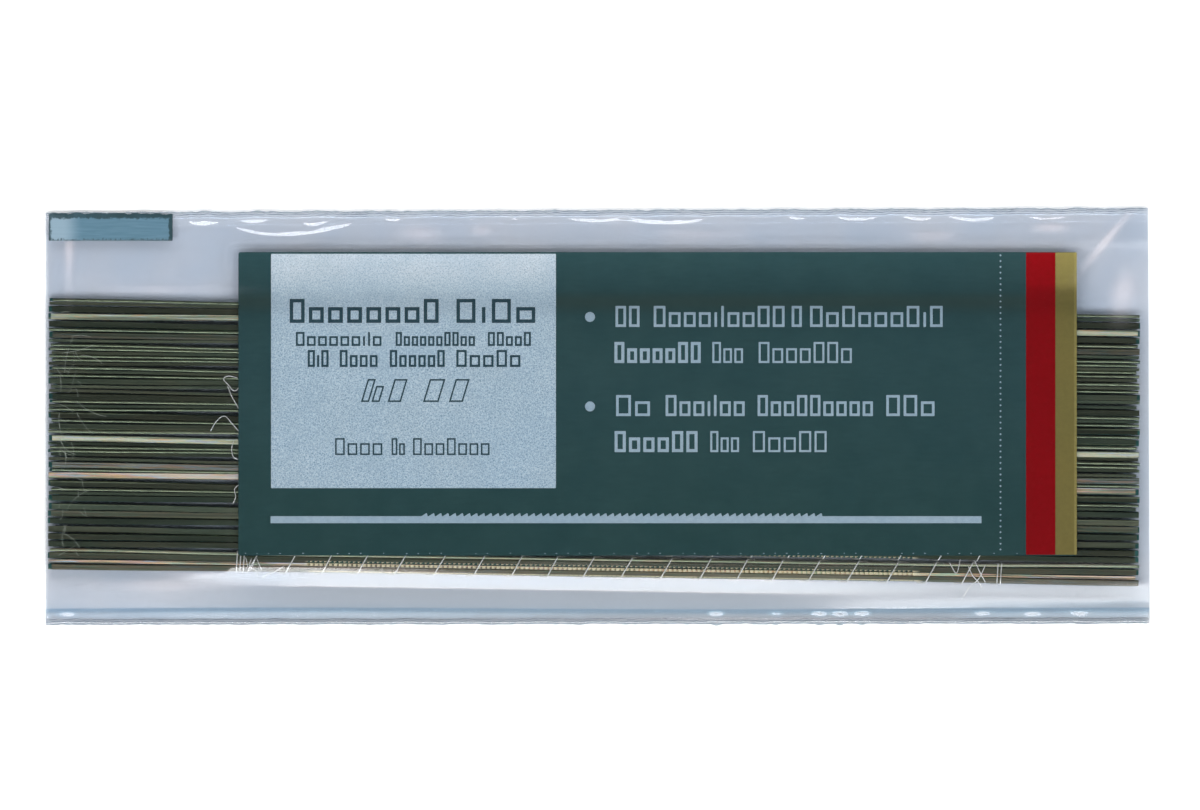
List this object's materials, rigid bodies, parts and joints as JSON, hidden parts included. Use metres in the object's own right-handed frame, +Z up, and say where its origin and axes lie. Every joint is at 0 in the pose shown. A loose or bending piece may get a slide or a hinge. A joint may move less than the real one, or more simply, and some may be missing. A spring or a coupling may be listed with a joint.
{
  "type": "saw blade packet",
  "caption": "Flat clear film sleeve, open at one end, holding wire-bound bundles of fine straight saw blades under a printed card.",
  "frame": {"origin": "on the resting face, under the middle of the sleeve", "axes": "+X along the blades to the open mouth, +Y across the sleeve towards the sticker's edge, +Z up out of the front film"},
  "size_m": [0.132, 0.0496, 0.0028],
  "materials": {
    "clear_film": "clear, glossy, slightly hazy",
    "blue_film": "satin blue adhesive film",
    "printed_card": "smooth printed card, dark green ink",
    "blade_steel": "rolled and tempered, dull olive grey faces, bright backs",
    "wire_steel": "bright drawn wire"
  },
  "bodies": {
    "packet": {"sleeve": "clear_film", "blue_sticker": "blue_film"},
    "card": {"label_card": "printed_card"},
    "bundle_01": {"binding_wire_01": "wire_steel"},
    "bundle_02": {"bundle_02": "blade_steel", "binding_wire_02": "wire_steel"},
    "bundle_03": {"bundle_03": "blade_steel", "binding_wire_03": "wire_steel"},
    "bundle_04": {"bundle_04": "blade_steel", "binding_wire_04": "wire_steel"},
    "bundle_05": {"bundle_05": "blade_steel", "binding_wire_05": "wire_steel"},
    "bundle_06": {"bundle_06": "blade_steel", "binding_wire_06": "wire_steel"},
    "bundle_07": {"bundle_07": "blade_steel", "binding_wire_07": "wire_steel"},
    "bundle_08": {"bundle_08": "blade_steel", "binding_wire_08": "wire_steel"},
    "bundle_09": {"bundle_09": "blade_steel", "binding_wire_09": "wire_steel"},
    "bundle_10": {"bundle_10": "blade_steel", "binding_wire_10": "wire_steel"},
    "bundle_11": {"binding_wire_11": "wire_steel"},
    "bundle_12": {"binding_wire_12": "wire_steel"},
    "blade_01_01": {"blade_01_01": "blade_steel"},
    "blade_01_02": {"blade_01_02": "blade_steel"},
    "blade_01_03": {"blade_01_03": "blade_steel"},
    "blade_01_04": {"blade_01_04": "blade_steel"},
    "blade_01_05": {"blade_01_05": "blade_steel"},
    "blade_01_06": {"blade_01_06": "blade_steel"},
    "blade_01_07": {"blade_01_07": "blade_steel"},
    "blade_01_08": {"blade_01_08": "blade_steel"},
    "blade_01_09": {"blade_01_09": "blade_steel"},
    "blade_01_10": {"blade_01_10": "blade_steel"},
    "blade_01_11": {"blade_01_11": "blade_steel"},
    "blade_01_12": {"blade_01_12": "blade_steel"},
    "blade_11_01": {"blade_11_01": "blade_steel"},
    "blade_11_02": {"blade_11_02": "blade_steel"},
    "blade_11_03": {"blade_11_03": "blade_steel"},
    "blade_11_04": {"blade_11_04": "blade_steel"},
    "blade_11_05": {"blade_11_05": "blade_steel"},
    "blade_11_06": {"blade_11_06": "blade_steel"},
    "blade_11_07": {"blade_11_07": "blade_steel"},
    "blade_11_08": {"blade_11_08": "blade_steel"},
    "blade_11_09": {"blade_11_09": "blade_steel"},
    "blade_11_10": {"blade_11_10": "blade_steel"},
    "blade_11_11": {"blade_11_11": "blade_steel"},
    "blade_11_12": {"blade_11_12": "blade_steel"},
    "blade_12_01": {"blade_12_01": "blade_steel"},
    "blade_12_02": {"blade_12_02": "blade_steel"},
    "blade_12_03": {"blade_12_03": "blade_steel"},
    "blade_12_04": {"blade_12_04": "blade_steel"},
    "blade_12_05": {"blade_12_05": "blade_steel"},
    "blade_12_06": {"blade_12_06": "blade_steel"},
    "blade_12_07": {"blade_12_07": "blade_steel"},
    "blade_12_08": {"blade_12_08": "blade_steel"},
    "blade_12_09": {"blade_12_09": "blade_steel"},
    "blade_12_10": {"blade_12_10": "blade_steel"},
    "blade_12_11": {"blade_12_11": "blade_steel"},
    "blade_12_12": {"blade_12_12": "blade_steel"}
  },
  "joints": [
    {"name": "card_slide", "type": "slide", "parent": "packet", "child": "card", "axis": [1, 0, 0], "range_m": [0, 0.112]},
    {"name": "draw_bundle_01", "type": "slide", "parent": "packet", "child": "bundle_01", "axis": [0.9999, -0.0157, 0], "range_m": [0, 0.134]},
    {"name": "draw_bundle_02", "type": "slide", "parent": "packet", "child": "bundle_02", "axis": [0.9999, -0.0157, 0], "range_m": [0, 0.134]},
    {"name": "draw_bundle_03", "type": "slide", "parent": "packet", "child": "bundle_03", "axis": [0.9999, -0.0157, 0], "range_m": [0, 0.134]},
    {"name": "draw_bundle_04", "type": "slide", "parent": "packet", "child": "bundle_04", "axis": [0.9999, -0.0157, 0], "range_m": [0, 0.134]},
    {"name": "draw_bundle_05", "type": "slide", "parent": "packet", "child": "bundle_05", "axis": [0.9999, -0.0157, 0], "range_m": [0, 0.134]},
    {"name": "draw_bundle_06", "type": "slide", "parent": "packet", "child": "bundle_06", "axis": [0.9999, -0.0157, 0], "range_m": [0, 0.134]},
    {"name": "draw_bundle_07", "type": "slide", "parent": "packet", "child": "bundle_07", "axis": [0.9999, -0.0157, 0], "range_m": [0, 0.134]},
    {"name": "draw_bundle_08", "type": "slide", "parent": "packet", "child": "bundle_08", "axis": [0.9999, -0.0157, 0], "range_m": [0, 0.134]},
    {"name": "draw_bundle_09", "type": "slide", "parent": "packet", "child": "bundle_09", "axis": [0.9999, -0.0157, 0], "range_m": [0, 0.134]},
    {"name": "draw_bundle_10", "type": "slide", "parent": "packet", "child": "bundle_10", "axis": [0.9999, -0.0157, 0], "range_m": [0, 0.134]},
    {"name": "draw_bundle_11", "type": "slide", "parent": "packet", "child": "bundle_11", "axis": [0.9999, -0.0157, 0], "range_m": [0, 0.134]},
    {"name": "draw_bundle_12", "type": "slide", "parent": "packet", "child": "bundle_12", "axis": [0.9999, -0.0157, 0], "range_m": [0, 0.134]},
    {"name": "slip_blade_01_01", "type": "slide", "parent": "bundle_01", "child": "blade_01_01", "axis": [0.9999, -0.0157, 0], "range_m": [0, 0.134]},
    {"name": "slip_blade_01_02", "type": "slide", "parent": "bundle_01", "child": "blade_01_02", "axis": [0.9999, -0.0157, 0], "range_m": [0, 0.134]},
    {"name": "slip_blade_01_03", "type": "slide", "parent": "bundle_01", "child": "blade_01_03", "axis": [0.9999, -0.0157, 0], "range_m": [0, 0.134]},
    {"name": "slip_blade_01_04", "type": "slide", "parent": "bundle_01", "child": "blade_01_04", "axis": [0.9999, -0.0157, 0], "range_m": [0, 0.134]},
    {"name": "slip_blade_01_05", "type": "slide", "parent": "bundle_01", "child": "blade_01_05", "axis": [0.9999, -0.0157, 0], "range_m": [0, 0.134]},
    {"name": "slip_blade_01_06", "type": "slide", "parent": "bundle_01", "child": "blade_01_06", "axis": [0.9999, -0.0157, 0], "range_m": [0, 0.134]},
    {"name": "slip_blade_01_07", "type": "slide", "parent": "bundle_01", "child": "blade_01_07", "axis": [0.9999, -0.0157, 0], "range_m": [0, 0.134]},
    {"name": "slip_blade_01_08", "type": "slide", "parent": "bundle_01", "child": "blade_01_08", "axis": [0.9999, -0.0157, 0], "range_m": [0, 0.134]},
    {"name": "slip_blade_01_09", "type": "slide", "parent": "bundle_01", "child": "blade_01_09", "axis": [0.9999, -0.0157, 0], "range_m": [0, 0.134]},
    {"name": "slip_blade_01_10", "type": "slide", "parent": "bundle_01", "child": "blade_01_10", "axis": [0.9999, -0.0157, 0], "range_m": [0, 0.134]},
    {"name": "slip_blade_01_11", "type": "slide", "parent": "bundle_01", "child": "blade_01_11", "axis": [0.9999, -0.0157, 0], "range_m": [0, 0.134]},
    {"name": "slip_blade_01_12", "type": "slide", "parent": "bundle_01", "child": "blade_01_12", "axis": [0.9999, -0.0157, 0], "range_m": [0, 0.134]},
    {"name": "slip_blade_11_01", "type": "slide", "parent": "bundle_11", "child": "blade_11_01", "axis": [0.9999, -0.0157, 0], "range_m": [0, 0.134]},
    {"name": "slip_blade_11_02", "type": "slide", "parent": "bundle_11", "child": "blade_11_02", "axis": [0.9999, -0.0157, 0], "range_m": [0, 0.134]},
    {"name": "slip_blade_11_03", "type": "slide", "parent": "bundle_11", "child": "blade_11_03", "axis": [0.9999, -0.0157, 0], "range_m": [0, 0.134]},
    {"name": "slip_blade_11_04", "type": "slide", "parent": "bundle_11", "child": "blade_11_04", "axis": [0.9999, -0.0157, 0], "range_m": [0, 0.134]},
    {"name": "slip_blade_11_05", "type": "slide", "parent": "bundle_11", "child": "blade_11_05", "axis": [0.9999, -0.0157, 0], "range_m": [0, 0.134]},
    {"name": "slip_blade_11_06", "type": "slide", "parent": "bundle_11", "child": "blade_11_06", "axis": [0.9999, -0.0157, 0], "range_m": [0, 0.134]},
    {"name": "slip_blade_11_07", "type": "slide", "parent": "bundle_11", "child": "blade_11_07", "axis": [0.9999, -0.0157, 0], "range_m": [0, 0.134]},
    {"name": "slip_blade_11_08", "type": "slide", "parent": "bundle_11", "child": "blade_11_08", "axis": [0.9999, -0.0157, 0], "range_m": [0, 0.134]},
    {"name": "slip_blade_11_09", "type": "slide", "parent": "bundle_11", "child": "blade_11_09", "axis": [0.9999, -0.0157, 0], "range_m": [0, 0.134]},
    {"name": "slip_blade_11_10", "type": "slide", "parent": "bundle_11", "child": "blade_11_10", "axis": [0.9999, -0.0157, 0], "range_m": [0, 0.134]},
    {"name": "slip_blade_11_11", "type": "slide", "parent": "bundle_11", "child": "blade_11_11", "axis": [0.9999, -0.0157, 0], "range_m": [0, 0.134]},
    {"name": "slip_blade_11_12", "type": "slide", "parent": "bundle_11", "child": "blade_11_12", "axis": [0.9999, -0.0157, 0], "range_m": [0, 0.134]},
    {"name": "slip_blade_12_01", "type": "slide", "parent": "bundle_12", "child": "blade_12_01", "axis": [0.9999, -0.0157, 0], "range_m": [0, 0.134]},
    {"name": "slip_blade_12_02", "type": "slide", "parent": "bundle_12", "child": "blade_12_02", "axis": [0.9999, -0.0157, 0], "range_m": [0, 0.134]},
    {"name": "slip_blade_12_03", "type": "slide", "parent": "bundle_12", "child": "blade_12_03", "axis": [0.9999, -0.0157, 0], "range_m": [0, 0.134]},
    {"name": "slip_blade_12_04", "type": "slide", "parent": "bundle_12", "child": "blade_12_04", "axis": [0.9999, -0.0157, 0], "range_m": [0, 0.134]},
    {"name": "slip_blade_12_05", "type": "slide", "parent": "bundle_12", "child": "blade_12_05", "axis": [0.9999, -0.0157, 0], "range_m": [0, 0.134]},
    {"name": "slip_blade_12_06", "type": "slide", "parent": "bundle_12", "child": "blade_12_06", "axis": [0.9999, -0.0157, 0], "range_m": [0, 0.134]},
    {"name": "slip_blade_12_07", "type": "slide", "parent": "bundle_12", "child": "blade_12_07", "axis": [0.9999, -0.0157, 0], "range_m": [0, 0.134]},
    {"name": "slip_blade_12_08", "type": "slide", "parent": "bundle_12", "child": "blade_12_08", "axis": [0.9999, -0.0157, 0], "range_m": [0, 0.134]},
    {"name": "slip_blade_12_09", "type": "slide", "parent": "bundle_12", "child": "blade_12_09", "axis": [0.9999, -0.0157, 0], "range_m": [0, 0.134]},
    {"name": "slip_blade_12_10", "type": "slide", "parent": "bundle_12", "child": "blade_12_10", "axis": [0.9999, -0.0157, 0], "range_m": [0, 0.134]},
    {"name": "slip_blade_12_11", "type": "slide", "parent": "bundle_12", "child": "blade_12_11", "axis": [0.9999, -0.0157, 0], "range_m": [0, 0.134]},
    {"name": "slip_blade_12_12", "type": "slide", "parent": "bundle_12", "child": "blade_12_12", "axis": [0.9999, -0.0157, 0], "range_m": [0, 0.134]}
  ]
}
